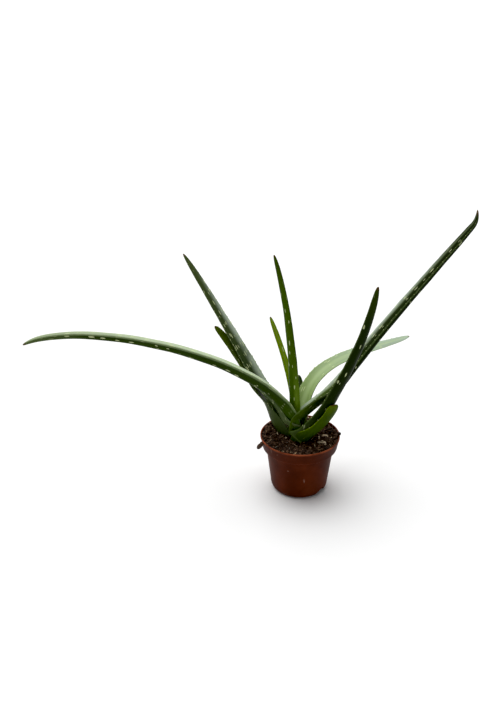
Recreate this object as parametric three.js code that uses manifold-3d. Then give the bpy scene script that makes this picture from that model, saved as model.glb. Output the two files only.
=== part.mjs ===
// A young aloe in a 10.5 cm plastic grower's pot.
// Millimetres, +Z up, -Y is the front. The origin is the middle of the pot's underside.
import * as THREE from "three";
import { mergeVertices } from "three/addons/utils/BufferGeometryUtils.js";
import Module from "manifold-3d";

const wasm = await Module();
wasm.setup();

// Fits
const GAP = 0.3; // between any two pieces that touch
const LEAF_GAP = 0.45; // between leaves, as their faceted sheaths curve past each other

// Pot
const POT_HEIGHT = 78;
const RIM_RADIUS = 52.5; // outside of the rolled lip
const LIP_HEIGHT = 2.2;
const LIP_THICKNESS = 1.9;
const WALL = 1.0;
const FLOOR = 1.2;
const COLLAR_HEIGHT = 16; // from the step to the top of the lip
const COLLAR_TAPER = 0.2; // radius lost per mm of depth
const COLLAR_STEP = 4.8; // how far the wall steps in under the collar
const BODY_TAPER = 0.129; // radius lost per mm of depth
const FOOT_HEIGHT = 12;
const FOOT_INSET = 7.2; // how far the rounded foot draws in
const DRAIN_HOLES = 6;
const DRAIN_HOLE_RADIUS = 3.5;
const DRAIN_HOLE_INSET = 9; // from the foot's edge to the holes' middles
const NOTCH_HEADING = -38; // degrees round from +X
const NOTCH_LENGTH = 19;
const NOTCH_HEIGHT = 9;
const NOTCH_DEPTH = 8; // from outside the foot inwards
const NOTCH_SOIL_SPACE = 1.5; // the soil stands back from the notch by this
const ROUNDING_STEPS = 6; // straight steps that make up the foot's rounding
const LATHE_SIDES = 48;

// Soil
const SOIL_DROP = 5.5; // level soil below the top of the lip
const HEAP_HEIGHT = 3.2; // extra height of the heap on the left
const HEAP_HEADING = 180;
const HEAP_DISTANCE = 27;
const HEAP_SPREAD = 17;
const LUMP_HEIGHT = 0.8;
const LUMP_SPACING = 19;
const SOIL_RINGS = 9;
const SOIL_SIDES = 32;

// Stem
const STEM_RADIUS = 6.5;
const STEM_TOP_RADIUS = 2.2;
const STEM_DEPTH = 26; // below the crown
const STEM_RISE = 15; // above the crown
const STEM_SIDES = 24;
const CROWN_OFFSET = -3; // the plant stands a little left of the pot's middle

// Leaf sections
const LEAF_RINGS = 22;
const LEAF_SIDES = 12;
const INNER_SHARE = 0.22; // share of the thickness on the inner face, which is nearly flat
const THICKNESS_TAPER = 0.5;
const SHEATH_THICKNESS = 2.6;
const TIP_SHARPNESS = 12; // the higher, the shorter the rounding into the tip
const RING_CROWDING = 0.35; // how far the rings crowd towards both ends
const HOOK_START = 0.95; // share of the length where a withered tip begins to bend

// Leaves, from the innermost to the outermost. Points are millimetres from the crown, which is the
// middle of the plant at soil level: the leaf grows from root, up past rise and arch, to its tip.
// heading is where its back faces, in degrees round from +X. clasp is how far its sheath wraps round
// the stem to each side, in degrees, and sheath is the length over which that opens into the blade.
// taper is the share of the width lost from base to tip. roll turns the blade above the sheath about
// its own length, in degrees. channel is the blade's curve across, in radians per mm. hook is how far
// a withered tip bends up.
const LEAVES = [
  {
    name: "leaf_centre", colour: 0x4c7a1e,
    root: [-2, 0, 4], rise: [-7, 2, 92], arch: [-10, 5, 175], tip: [-33, 8, 254],
    width: 19, thickness: 8.5, taper: 0.65, channel: 0.05,
    heading: 185, clasp: 110, sheath: 40, roll: 0, hook: 0,
  },
  {
    name: "leaf_arching_right", colour: 0x86a65c,
    root: [4, 4, 0], rise: [-9, 46, 104], arch: [93, 77, 90], tip: [157, 112, 96],
    width: 25, thickness: 6, taper: 0.62, channel: 0.06,
    heading: 42, clasp: 110, sheath: 45, roll: 0, hook: 0,
  },
  {
    name: "leaf_short_back", colour: 0x6f9a12,
    root: [-2, 6, 2], rise: [-2, 20, 59], arch: [-19, 36, 106], tip: [-37, 52, 152],
    width: 10.5, thickness: 4.5, taper: 0.5, channel: 0.04,
    heading: 125, clasp: 90, sheath: 30, roll: 0, hook: 0,
  },
  {
    name: "leaf_stub_back", colour: 0x3f6416,
    root: [1, 7, 0], rise: [3, 32, 22], arch: [8, 50, 44], tip: [2, 57, 64],
    width: 15, thickness: 5, taper: 0.5, channel: 0.04,
    heading: 80, clasp: 90, sheath: 30, roll: 0, hook: 0,
  },
  {
    name: "leaf_arching_left", colour: 0x5f8a3c,
    root: [-7, -1, -3], rise: [14, -5, 108], arch: [-274, -28, 199], tip: [-341, -35, 150],
    width: 25, thickness: 11.5, taper: 0.5, channel: 0.04,
    heading: 188, clasp: 115, sheath: 50, roll: 0, hook: 0,
  },
  {
    name: "leaf_long_right", colour: 0x35551c,
    root: [9, 0, -4], rise: [50, 8, 101], arch: [146, 18, 200], tip: [221, 29, 298],
    width: 24, thickness: 9.5, taper: 0.55, channel: 0.04,
    heading: -2, clasp: 120, sheath: 60, roll: 8, hook: 10,
  },
  {
    name: "leaf_tall_left", colour: 0x4a6648,
    root: [-10, 4, -6], rise: [-51, 24, 77], arch: [-97, 47, 157], tip: [-147, 71, 232],
    width: 30, thickness: 9, taper: 0.75, channel: 0.05,
    heading: 140, clasp: 125, sheath: 65, roll: 0, hook: 0,
  },
  {
    name: "leaf_dark_right", colour: 0x2d4a1a,
    root: [8, -8, -8], rise: [44, -29, 78], arch: [77, -53, 158], tip: [83, -80, 248],
    width: 25, thickness: 10, taper: 0.7, channel: 0.04,
    heading: -47, clasp: 125, sheath: 60, roll: 0, hook: 0,
  },
  {
    name: "leaf_low_right", colour: 0x3f6a18,
    root: [9, -9, -6], rise: [17, -17, 20], arch: [44, -27, 41], tip: [45, -36, 70],
    width: 22, thickness: 8, taper: 0.5, channel: 0.03,
    heading: -65, clasp: 75, sheath: 28, roll: 0, hook: 0,
  },
  {
    name: "leaf_short_left", colour: 0x22380f,
    root: [-12, 5, -6], rise: [-44, 18, 42], arch: [-67, 30, 97], tip: [-109, 44, 142],
    width: 20, thickness: 7, taper: 0.6, channel: 0.03,
    heading: 140, clasp: 55, sheath: 35, roll: 0, hook: 0,
  },
];

// Loose bits. They lie on the soil, or on the rim where onRim is set, at a heading in degrees round
// from +X, and so many mm in from the rim or out from the crown. lift is the height of the middle
// above what the bit lies on. size is length, width and height, turn and tilt are in degrees.
const BITS = [
  {
    name: "chip_front", colour: 0x9a8f6a,
    heading: 226, fromCrown: 16, lift: 1.2, size: [10, 4, 2], turn: -12, tilt: 4,
  },
  {
    name: "bark_chunk", colour: 0x8a7560,
    heading: -34, fromRim: 20, lift: 1.2, size: [13, 8, 6], turn: -8, tilt: 0,
  },
  {
    name: "splinter", colour: 0x9c8468,
    heading: -23, fromRim: 26.5, lift: 4, size: [11, 2.4, 2], turn: 20, tilt: 84,
  },
  {
    name: "chip_right", colour: 0x8c8055,
    heading: 5, fromRim: 19.4, lift: 1, size: [9, 4, 3], turn: -20, tilt: 5,
  },
  {
    name: "chip_back_right", colour: 0x8a7a5c,
    heading: 27, fromRim: 10.9, lift: 1, size: [7, 3.5, 3], turn: 30, tilt: 8,
  },
  {
    name: "twig_left_rim", colour: 0x3a2a22, onRim: true,
    heading: 199, fromRim: -4.7, lift: -6.5, size: [12, 3.4, 3.2], turn: 200, tilt: -50,
  },
  {
    name: "crumb_right_rim", colour: 0x40302a, onRim: true,
    heading: -2, fromRim: 0.9, lift: 1.9, size: [4.2, 5, 3.2], turn: 10, tilt: 0,
  },
];
const BIT_ROUGHNESS = 0.14;

// The plant's crown, on the soil.
const crown = new THREE.Vector3(CROWN_OFFSET, 0, POT_HEIGHT - SOIL_DROP);

// Radii down the pot's outside.
const collarTopRadius = RIM_RADIUS - (LIP_THICKNESS - WALL) / 2;
const collarBottom = POT_HEIGHT - COLLAR_HEIGHT;
const collarBottomRadius = collarTopRadius - COLLAR_TAPER * (COLLAR_HEIGHT - LIP_HEIGHT);
const bodyTopRadius = collarBottomRadius - COLLAR_STEP;
const bodyBottomRadius = bodyTopRadius - BODY_TAPER * (collarBottom - FOOT_HEIGHT);
const footRadius = bodyBottomRadius - FOOT_INSET;

const toRadians = THREE.MathUtils.degToRad;
const smooth = (t) => THREE.MathUtils.smoothstep(t, 0, 1);

// A closed geometry as a solid that can be joined and cut.
function solidOf(geometry) {
  const bare = geometry.clone();
  bare.deleteAttribute("normal");
  bare.deleteAttribute("uv");
  const merged = mergeVertices(bare, 1e-4);
  return new wasm.Manifold(
    new wasm.Mesh({
      numProp: 3,
      vertProperties: new Float32Array(merged.attributes.position.array),
      triVerts: new Uint32Array(merged.index.array),
    }),
  );
}

// What cutters leave of a solid: its largest body, as trimming a leaf can leave slivers.
function trimmed(solid, cutters) {
  const left = cutters.reduce((rest, cutter) => rest.subtract(cutter), solid);
  return left.decompose().reduce((best, body) => (body.volume() > best.volume() ? body : best));
}

// A solid as a named mesh.
function meshOf(name, solid, material) {
  const { vertProperties, triVerts } = solid.getMesh();
  const flat = new THREE.BufferGeometry()
    .setAttribute("position", new THREE.BufferAttribute(vertProperties, 3))
    .setIndex(new THREE.BufferAttribute(triVerts, 1))
    .toNonIndexed();
  flat.computeVertexNormals();
  const mesh = new THREE.Mesh(flat, material);
  mesh.name = name;
  return mesh;
}

// The faces of a skin over rings of points that all have the same count. Point 0 is left free.
function skinFaces(ringCount, sides) {
  const at = (ring, side) => 1 + ring * sides + (side % sides);
  const faces = [];
  for (let ring = 0; ring < ringCount - 1; ring++) {
    for (let side = 0; side < sides; side++) {
      faces.push(at(ring, side), at(ring, side + 1), at(ring + 1, side + 1));
      faces.push(at(ring, side), at(ring + 1, side + 1), at(ring + 1, side));
    }
  }
  return faces;
}

// A profile of [radius, height] points turned round the vertical axis.
function turned(profile, sides) {
  const points = profile.map(([radius, height]) => new THREE.Vector2(radius, height));
  return new THREE.LatheGeometry(points, sides).rotateX(Math.PI / 2);
}

// Pot: the rounding from the underside to the wall, drawn in by shrink from the outer face.
function footRounding(shrink, bottom) {
  const points = [];
  for (let i = 0; i <= ROUNDING_STEPS; i++) {
    const turn = (Math.PI / 2) * (i / ROUNDING_STEPS);
    const inset = (FOOT_INSET - shrink) * (1 - Math.sin(turn));
    const height = bottom + (FOOT_HEIGHT - bottom) * (1 - Math.cos(turn));
    points.push([bodyBottomRadius - shrink - inset, height]);
  }
  return points;
}

// A shallow drain notch in the foot's edge.
function notchSolid(grow) {
  const radius = NOTCH_LENGTH / 2 + grow;
  return solidOf(
    new THREE.CylinderGeometry(radius, radius, NOTCH_DEPTH + 2 * grow, 24)
      .rotateZ(Math.PI / 2)
      .scale(1, 1, (NOTCH_HEIGHT + grow) / radius)
      .translate(bodyBottomRadius - NOTCH_DEPTH / 2, 0, 0)
      .rotateZ(toRadians(NOTCH_HEADING)),
  );
}

function makePot() {
  const lipInside = RIM_RADIUS - LIP_THICKNESS;
  const lipBottom = POT_HEIGHT - LIP_HEIGHT;
  const profile = [
    [0, 0],
    ...footRounding(0, 0),
    [bodyTopRadius, collarBottom - WALL],
    [collarBottomRadius - WALL / 2, collarBottom - WALL / 2],
    [collarBottomRadius, collarBottom],
    [collarTopRadius, lipBottom],
    [RIM_RADIUS, lipBottom + 0.5],
    [RIM_RADIUS, POT_HEIGHT - 0.7],
    [RIM_RADIUS - 0.6, POT_HEIGHT],
    [lipInside + 0.5, POT_HEIGHT],
    [lipInside, POT_HEIGHT - 0.6],
    [collarTopRadius - WALL, lipBottom - 0.4],
    [collarBottomRadius - WALL, collarBottom + WALL / 2],
    [bodyTopRadius - WALL, collarBottom - WALL / 2],
    ...footRounding(WALL, FLOOR).reverse(),
    [0, FLOOR],
  ];
  let pot = solidOf(turned(profile, LATHE_SIDES));
  for (let i = 0; i < DRAIN_HOLES; i++) {
    const turn = ((i + 0.5) / DRAIN_HOLES) * 2 * Math.PI;
    const hole = new THREE.CylinderGeometry(DRAIN_HOLE_RADIUS, DRAIN_HOLE_RADIUS, 4 * FLOOR, 20)
      .rotateX(Math.PI / 2)
      .translate(footRadius - DRAIN_HOLE_INSET, 0, 0)
      .rotateZ(turn);
    pot = pot.subtract(solidOf(hole));
  }
  return pot.subtract(notchSolid(0));
}

// Soil
const heapX = HEAP_DISTANCE * Math.cos(toRadians(HEAP_HEADING));
const heapY = HEAP_DISTANCE * Math.sin(toRadians(HEAP_HEADING));

function soilHeight(x, y) {
  const fromHeap = ((x - heapX) ** 2 + (y - heapY) ** 2) / (2 * HEAP_SPREAD ** 2);
  const wave = (2 * Math.PI) / LUMP_SPACING;
  const lumps = Math.sin(wave * x) * Math.cos(wave * y) + 0.5 * Math.sin(1.9 * wave * (x - y) + 1);
  return POT_HEIGHT - SOIL_DROP + HEAP_HEIGHT * Math.exp(-fromHeap) + LUMP_HEIGHT * lumps;
}

// Everything under the soil's uneven top, out to the rim.
function makeMound() {
  const bottom = new THREE.Vector3(0, 0, -1);
  const rings = [];
  for (let i = SOIL_RINGS; i > 0; i--) {
    const radius = (RIM_RADIUS * i) / SOIL_RINGS;
    for (let side = 0; side < SOIL_SIDES; side++) {
      const turn = (2 * Math.PI * side) / SOIL_SIDES;
      const x = radius * Math.cos(turn);
      const y = radius * Math.sin(turn);
      rings.push(new THREE.Vector3(x, y, soilHeight(x, y)));
    }
  }
  const edge = rings.slice(0, SOIL_SIDES).map((p) => new THREE.Vector3(p.x, p.y, bottom.z));
  const top = new THREE.Vector3(0, 0, soilHeight(0, 0));
  const points = [bottom, ...edge, ...rings, top];
  const faces = skinFaces(SOIL_RINGS + 1, SOIL_SIDES);
  const inmost = 1 + SOIL_RINGS * SOIL_SIDES;
  for (let side = 0; side < SOIL_SIDES; side++) {
    const next = (side + 1) % SOIL_SIDES;
    faces.push(0, 1 + next, 1 + side);
    faces.push(points.length - 1, inmost + side, inmost + next);
  }
  return new THREE.BufferGeometry().setFromPoints(points).setIndex(faces);
}

function makeSoil(cutters) {
  const profile = [
    [0, FLOOR + GAP],
    ...footRounding(WALL + GAP, FLOOR + GAP),
    [bodyTopRadius - WALL - GAP, collarBottom - WALL / 2],
    [collarBottomRadius - WALL - GAP, collarBottom + WALL / 2 + GAP],
    [collarTopRadius - WALL - GAP, POT_HEIGHT - LIP_HEIGHT - 0.4],
    [RIM_RADIUS - LIP_THICKNESS - GAP, POT_HEIGHT - 0.6],
    [RIM_RADIUS - LIP_THICKNESS - GAP, POT_HEIGHT],
    [0, POT_HEIGHT],
  ];
  const soil = solidOf(turned(profile, LATHE_SIDES)).intersect(solidOf(makeMound()));
  return trimmed(soil.subtract(notchSolid(NOTCH_SOIL_SPACE)), cutters);
}

// Stem
function stemSolid(grow) {
  const profile = [
    [0, -STEM_DEPTH - grow],
    [STEM_RADIUS * 0.8 + grow, -STEM_DEPTH - grow],
    [STEM_RADIUS + grow, 0],
    [STEM_TOP_RADIUS + grow, STEM_RISE - 1],
    [0, STEM_RISE + grow],
  ];
  return solidOf(turned(profile, STEM_SIDES).translate(crown.x, crown.y, crown.z));
}

// Leaf: a curved centre line carries crescent sections. Across the section the leaf bends on an arc
// that wraps round the stem at the sheath and becomes the shallow channel of the blade.
function leafSolid(leaf, grow) {
  const place = ([x, y, z]) => new THREE.Vector3(x, y, z).add(crown);
  const path = new THREE.CubicBezierCurve3(
    place(leaf.root),
    place(leaf.rise),
    place(leaf.arch),
    place(leaf.tip),
  );
  const length = path.getLength();
  const heading = toRadians(leaf.heading);
  const inward = new THREE.Vector3(-Math.cos(heading), -Math.sin(heading), 1);
  const claspRadius = Math.hypot(leaf.root[0], leaf.root[1]) + 1;
  const sheathHalf = claspRadius * toRadians(leaf.clasp);

  // How far the sheath has opened into the blade, 0 to 1, at a share u of the length.
  const openedAt = (u) => smooth((u * length) / leaf.sheath);

  // The centre line at a share u of the length, with the directions of its tip and inner face.
  function spineAt(u) {
    const along = path.getTangentAt(u);
    const face = inward.clone().projectOnPlane(along).normalize();
    face.applyAxisAngle(along, toRadians(leaf.roll) * openedAt(u));
    const point = path.getPointAt(u);
    const bent = Math.max(0, (u - HOOK_START) / (1 - HOOK_START));
    point.addScaledVector(face, leaf.hook * bent ** 2);
    point.addScaledVector(along, grow * (2 * u - 1));
    return { point, along, face };
  }

  const points = [spineAt(1).point];
  for (let i = 0; i < LEAF_RINGS; i++) {
    const even = i / LEAF_RINGS;
    const u = THREE.MathUtils.lerp(even, (1 - Math.cos(Math.PI * even)) / 2, RING_CROWDING);
    const { point, along, face } = spineAt(u);
    const side = new THREE.Vector3().crossVectors(face, along);
    const opened = openedAt(u);
    const rounding = Math.sqrt(1 - u ** TIP_SHARPNESS);
    const blade = (leaf.width / 2) * (1 - leaf.taper * u) * rounding;
    const half = THREE.MathUtils.lerp(sheathHalf, blade, opened);
    const full = leaf.thickness * (1 - THICKNESS_TAPER * u) * rounding;
    const thick = THREE.MathUtils.lerp(SHEATH_THICKNESS, full, opened);
    const bend = THREE.MathUtils.lerp(1 / claspRadius, leaf.channel * (1 - u), opened);
    for (let k = 0; k < LEAF_SIDES; k++) {
      const turn = (2 * Math.PI * k) / LEAF_SIDES;
      const onMargin = k % (LEAF_SIDES / 2) === 0;
      const reach = half * Math.cos(turn) + (onMargin ? grow * Math.cos(turn) : 0);
      const share = Math.sin(turn) > 0 ? INNER_SHARE : 1 - INNER_SHARE;
      const swell = onMargin ? 0 : grow * Math.sign(Math.sin(turn));
      const out = thick * (share * Math.sin(turn) + 0.5 - INNER_SHARE) + swell;
      const angle = bend * reach;
      const across = (1 / bend - out) * Math.sin(angle);
      const rise = 1 / bend - (1 / bend - out) * Math.cos(angle);
      points.push(point.clone().addScaledVector(side, across).addScaledVector(face, rise));
    }
  }
  const faces = skinFaces(LEAF_RINGS, LEAF_SIDES);
  const lastRing = 1 + (LEAF_RINGS - 1) * LEAF_SIDES;
  for (let k = 0; k < LEAF_SIDES; k++) {
    faces.push(0, lastRing + k, lastRing + ((k + 1) % LEAF_SIDES));
  }
  // The cut base is a strip between the inner and the outer face, as it is bent too far for a fan.
  for (let k = 0; k < LEAF_SIDES / 2; k++) {
    const [innerA, innerB] = [1 + k, 2 + k];
    const [outerA, outerB] = [1 + ((LEAF_SIDES - k) % LEAF_SIDES), LEAF_SIDES - k];
    if (innerA !== outerA) faces.push(innerA, outerA, innerB);
    if (innerB !== outerB) faces.push(innerB, outerA, outerB);
  }
  return solidOf(new THREE.BufferGeometry().setFromPoints(points).setIndex(faces));
}

// Loose bits
function bitSolid(bit, grow) {
  const lump = new THREE.IcosahedronGeometry(1, 1);
  const position = lump.attributes.position;
  for (let i = 0; i < position.count; i++) {
    const [x, y, z] = [position.getX(i), position.getY(i), position.getZ(i)];
    const swell = 1 + BIT_ROUGHNESS * Math.sin(3 * x + bit.turn) * Math.cos(4 * y - 2 * z);
    position.setXYZ(i, x * swell, y * swell, z * swell);
  }
  const [long, wide, high] = bit.size.map((full) => full / 2 + grow);
  const place = new THREE.Vector3(Math.cos(toRadians(bit.heading)), Math.sin(toRadians(bit.heading)), 0);
  if (bit.fromCrown) place.multiplyScalar(bit.fromCrown).add(new THREE.Vector3(crown.x, crown.y, 0));
  else place.multiplyScalar(RIM_RADIUS - bit.fromRim);
  place.z = (bit.onRim ? POT_HEIGHT : soilHeight(place.x, place.y)) + bit.lift;
  return solidOf(
    lump
      .scale(long, wide, high)
      .rotateY(-toRadians(bit.tilt))
      .rotateZ(toRadians(bit.turn))
      .translate(place.x, place.y, place.z),
  );
}

// Assembly: each piece is trimmed clear of those before it.
const solids = new Map([["stem", stemSolid(0)]]);
const cutters = [stemSolid(GAP)];
for (const leaf of LEAVES) {
  solids.set(leaf.name, trimmed(leafSolid(leaf, 0), cutters));
  cutters.push(leafSolid(leaf, LEAF_GAP));
}
for (const bit of BITS) {
  solids.set(bit.name, trimmed(bitSolid(bit, 0), cutters));
  cutters.push(bitSolid(bit, GAP));
}
solids.set("soil", makeSoil(cutters));
solids.set("pot", makePot());

const colours = { pot: 0x8a3d22, soil: 0x2a1e16, stem: 0x6d7a3a };
for (const piece of [...LEAVES, ...BITS]) colours[piece.name] = piece.colour;

const plant = new THREE.Group();
for (const [name, solid] of solids) {
  const roughness = name === "soil" ? 1 : 0.5;
  const material = new THREE.MeshStandardMaterial({ color: colours[name], roughness, metalness: 0 });
  plant.add(meshOf(name, solid, material));
}

export default plant;
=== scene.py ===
import math
import bpy
import numpy as np
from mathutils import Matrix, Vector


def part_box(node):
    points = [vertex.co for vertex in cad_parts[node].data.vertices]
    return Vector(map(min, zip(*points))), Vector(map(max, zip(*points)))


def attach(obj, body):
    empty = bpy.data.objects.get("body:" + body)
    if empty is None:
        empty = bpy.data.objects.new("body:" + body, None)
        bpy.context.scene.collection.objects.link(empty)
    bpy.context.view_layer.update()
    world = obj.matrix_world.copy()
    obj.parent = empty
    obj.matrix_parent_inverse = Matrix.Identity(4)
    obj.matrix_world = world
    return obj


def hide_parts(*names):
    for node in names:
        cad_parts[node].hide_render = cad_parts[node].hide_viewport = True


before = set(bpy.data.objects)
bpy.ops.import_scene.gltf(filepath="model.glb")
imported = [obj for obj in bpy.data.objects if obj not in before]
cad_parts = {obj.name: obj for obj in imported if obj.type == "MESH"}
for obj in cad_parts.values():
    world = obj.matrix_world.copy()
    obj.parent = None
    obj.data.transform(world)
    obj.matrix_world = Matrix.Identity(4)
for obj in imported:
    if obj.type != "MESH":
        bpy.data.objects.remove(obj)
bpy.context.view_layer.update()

# A young aloe in a plastic grower's pot. The dictionaries are in millimetres and degrees, the scene
# is in metres. The front is -Y, and the origin is the middle of the pot's underside.
mm = 0.001
print("frame loaded:", len(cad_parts), "solids")


# 0 below 0, 1 above 1, and 3v^2 - 2v^3 between.
def smoothStep(value):
    value = np.clip(value, 0, 1)
    return value * value * (3 - 2 * value)


def between(start, end, share):
    return start + (end - start) * share


def unit(vectors):
    return vectors / np.linalg.norm(vectors, axis=-1, keepdims=True)


# Quads of a skin over rings of points that all have the same count, closed round each ring.
def skinQuads(ringCount, sides):
    ring = np.arange(ringCount - 1)[:, None] * sides
    side = np.arange(sides)[None, :]
    following = (side + 1) % sides
    quads = np.stack([ring + side, ring + following, ring + sides + following, ring + sides + side], -1)
    return quads.reshape(-1, 4)


# Triangles from one ring to a single point, which is before the ring or after it.
def capTriangles(ringStart, sides, pole, poleFirst):
    side = np.arange(sides)
    here, following = ringStart + side, ringStart + (side + 1) % sides
    pair = (following, here) if poleFirst else (here, following)
    return np.stack([np.full(sides, pole), *pair], -1)


# A skin closed by two poles, which are the two points after the rings.
def closedSkin(ringCount, sides):
    body = ringCount * sides
    bottom, top = capTriangles(0, sides, body, True), capTriangles(body - sides, sides, body + 1, False)
    return [skinQuads(ringCount, sides), bottom, top]


# Puts points and faces into a new piece that rides on the plant's one body. layers are values that
# the materials read, one for each point, and flatMap is a map in metres along the surface.
def makePiece(name, points, faces, standsFor=(), layers=None, flatMap=None):
    mesh = bpy.data.meshes.new(name)
    mesh.from_pydata(np.asarray(points, float).tolist(), [], [f for part in faces for f in part.tolist()])
    mesh.polygons.foreach_set("use_smooth", np.ones(len(mesh.polygons), bool))
    for layer, values in (layers or {}).items():
        stored = mesh.attributes.new(layer, "FLOAT", "POINT")
        stored.data.foreach_set("value", np.asarray(values, np.float32))
    if flatMap is not None:
        corners = np.empty(len(mesh.loops), np.int32)
        mesh.loops.foreach_get("vertex_index", corners)
        uvs = mesh.uv_layers.new(name="flatMap")
        uvs.data.foreach_set("uv", np.asarray(flatMap, np.float32)[corners].ravel())
    mesh.update()
    piece = bpy.data.objects.new(name, mesh)
    bpy.context.scene.collection.objects.link(piece)
    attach(piece, "root")
    if standsFor:
        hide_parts(*standsFor)
    return piece


# A material from its shader's fixed values.
def newMaterial(name, **values):
    material = bpy.data.materials.new(name)
    material.use_nodes = True
    shader = material.node_tree.nodes["Principled BSDF"]
    for socket, value in values.items():
        shader.inputs[socket.replace("_", " ")].default_value = value
    return material, material.node_tree, shader


# A red, green and blue of 0 to 255 as the shader's linear colour.
def paint(red, green, blue):
    share = np.array([red, green, blue]) / 255
    linear = np.where(share <= 0.04045, share / 12.92, ((share + 0.055) / 1.055) ** 2.4)
    return (*linear.tolist(), 1.0)


def addNode(tree, kind, inputs, **settings):
    node = tree.nodes.new("ShaderNode" + kind)
    for setting, value in settings.items():
        setattr(node, setting, value)
    for socket, value in inputs.items():
        if isinstance(value, bpy.types.NodeSocket):
            tree.links.new(value, node.inputs[socket])
        else:
            node.inputs[socket].default_value = value
    return node


def calc(tree, operation, first, second=0.0, third=0.0):
    return addNode(tree, "Math", {0: first, 1: second, 2: third}, operation=operation).outputs[0]


def times(tree, first, *others):
    for other in others:
        first = calc(tree, "MULTIPLY", first, other)
    return first


# 1 less the value.
def oneLess(tree, value):
    return calc(tree, "SUBTRACT", 1.0, value)


# low becomes 0 and high becomes 1, with a soft run between.
def softRange(tree, value, low, high):
    inputs = {"Value": value, "From Min": low, "From Max": high}
    return addNode(tree, "MapRange", inputs, interpolation_type="SMOOTHSTEP").outputs[0]


# first and second are colour sockets, or a red, green and blue of 0 to 255.
def mixPaint(tree, share, first, second, blend="MIX"):
    first, second = (paint(*colour) if isinstance(colour, tuple) else colour for colour in (first, second))
    inputs = {0: share, 6: first, 7: second}
    return addNode(tree, "Mix", inputs, data_type="RGBA", blend_type=blend).outputs[2]


def paintRamp(tree, value, stops):
    node = addNode(tree, "ValToRGB", {"Fac": value})
    for i, (place, colour) in enumerate(stops):
        element = node.color_ramp.elements[i] if i < 2 else node.color_ramp.elements.new(place)
        element.position = place
        element.color = paint(*colour)
    return node.outputs[0]


# Noise with its scale in rounds per metre, stretched by stretch.
def grain(tree, place, scale, detail=3.0, rough=0.55, stretch=(1, 1, 1), shift=(0, 0, 0)):
    mapped = addNode(tree, "Mapping", {"Vector": place, "Location": shift, "Scale": stretch}).outputs[0]
    inputs = {"Vector": mapped, "Scale": scale, "Detail": detail, "Roughness": rough}
    return addNode(tree, "TexNoise", inputs).outputs[0]


def layerValue(tree, layer):
    return addNode(tree, "Attribute", {}, attribute_name=layer).outputs["Fac"]


def objectPlace(tree):
    return addNode(tree, "TexCoord", {}).outputs["Object"]


def bumpFrom(tree, shader, height, distance, strength=1.0):
    inputs = {"Height": height, "Distance": distance, "Strength": strength}
    tree.links.new(addNode(tree, "Bump", inputs).outputs[0], shader.inputs["Normal"])


pot = {
    "height": 78, "rimRadius": 52.5, "lipHeight": 2.2, "lipThickness": 1.9, "wall": 1.0, "floor": 1.2,
    "collarHeight": 16, "collarTaper": 0.2, "collarStep": 4.8, "bodyTaper": 0.129,
    "footHeight": 12, "footInset": 7.2, "drainHoles": 6, "drainRadius": 3.5, "drainInset": 9,
    "notchHeading": -38, "notchLength": 19, "notchHeight": 9, "notchDepth": 8,
    "sides": 192,
}
pot["collarTop"] = pot["rimRadius"] - (pot["lipThickness"] - pot["wall"]) / 2
pot["collarBottom"] = pot["height"] - pot["collarHeight"]
pot["collarFoot"] = pot["collarTop"] - pot["collarTaper"] * (pot["collarHeight"] - pot["lipHeight"])
pot["bodyTop"] = pot["collarFoot"] - pot["collarStep"]
pot["bodyFoot"] = pot["bodyTop"] - pot["bodyTaper"] * (pot["collarBottom"] - pot["footHeight"])
potPaint = {
    "main": (102, 42, 18), "worn": (162, 86, 54), "deep": (80, 30, 10), "scuff": (196, 160, 142),
    # The collar colour is painted shade for the collar band.
    "dust": (122, 66, 38), "collar": (62, 22, 6),
    "scuffPlaces": [  # middle and half size
        ((4.6, -41, 32), (1.2, 8, 5.5)), ((-16.7, -41, 45.6), (1.3, 8, 1.1)),
        ((-31, -36, 71), (1.0, 8, 1.4)),
    ],
}


# Each corner (radius, height, rounding) is cut by a parabola that leaves both its sides smoothly.
def roundedProfile(corners, steps=5):
    places = np.array([c[:2] for c in corners], float)
    share = np.linspace(0, 1, steps)[:, None]
    line = [places[:1]]
    roundings = [c[2] for c in corners[1:-1]]
    for before, corner, after, rounding in zip(places, places[1:], places[2:], roundings):
        reach = [min(rounding, 0.48 * np.linalg.norm(end - corner)) for end in (before, after)]
        start, end = (corner + unit(p - corner) * r for p, r in zip((before, after), reach))
        arc = (1 - share) ** 2 * start + 2 * share * (1 - share) * corner + share**2 * end
        line.append(arc if rounding > 0 else corner[None])
    return np.concatenate([*line, places[-1:]])


# The quarter ellipse from the underside up to the wall, drawn in by shrink.
def footCorners(shrink, bottom, steps=9):
    turn = np.linspace(0, math.pi / 2, steps)
    radius = pot["bodyFoot"] - shrink - (pot["footInset"] - shrink) * (1 - np.sin(turn))
    height = bottom + (pot["footHeight"] - bottom) * (1 - np.cos(turn))
    return [(r, h, 0) for r, h in zip(radius, height)]


# Points (radius, height) on a profile turned to every angle: (r cos a, r sin a, h).
def turnedPoints(profile, sides):
    angle = np.arange(sides) * 2 * math.pi / sides
    radius, height = profile[:, :1], profile[:, 1:]
    rings = np.stack([radius * np.cos(angle), radius * np.sin(angle), height + 0 * angle], -1)
    return rings.reshape(-1, 3)


# A closed turned piece: the first and last points of the profile are on the axis.
def turnedSkin(profile, sides):
    body = turnedPoints(profile[1:-1], sides)
    points = np.concatenate([body, [[0, 0, profile[0, 1]], [0, 0, profile[-1, 1]]]])
    return points, closedSkin(len(profile) - 2, sides)


# A closed rod of 40 sides: from each end's middle, cos(a) of one half width and sin(a) of the other.
def rodSkin(start, end, acrossA, acrossB):
    angle = np.arange(40)[:, None] * math.pi / 20
    ring = np.cos(angle) * np.array(acrossA, float) + np.sin(angle) * np.array(acrossB, float)
    points = np.concatenate([ring + start, ring + end, [start], [end]])
    return points, closedSkin(2, 40)


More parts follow.
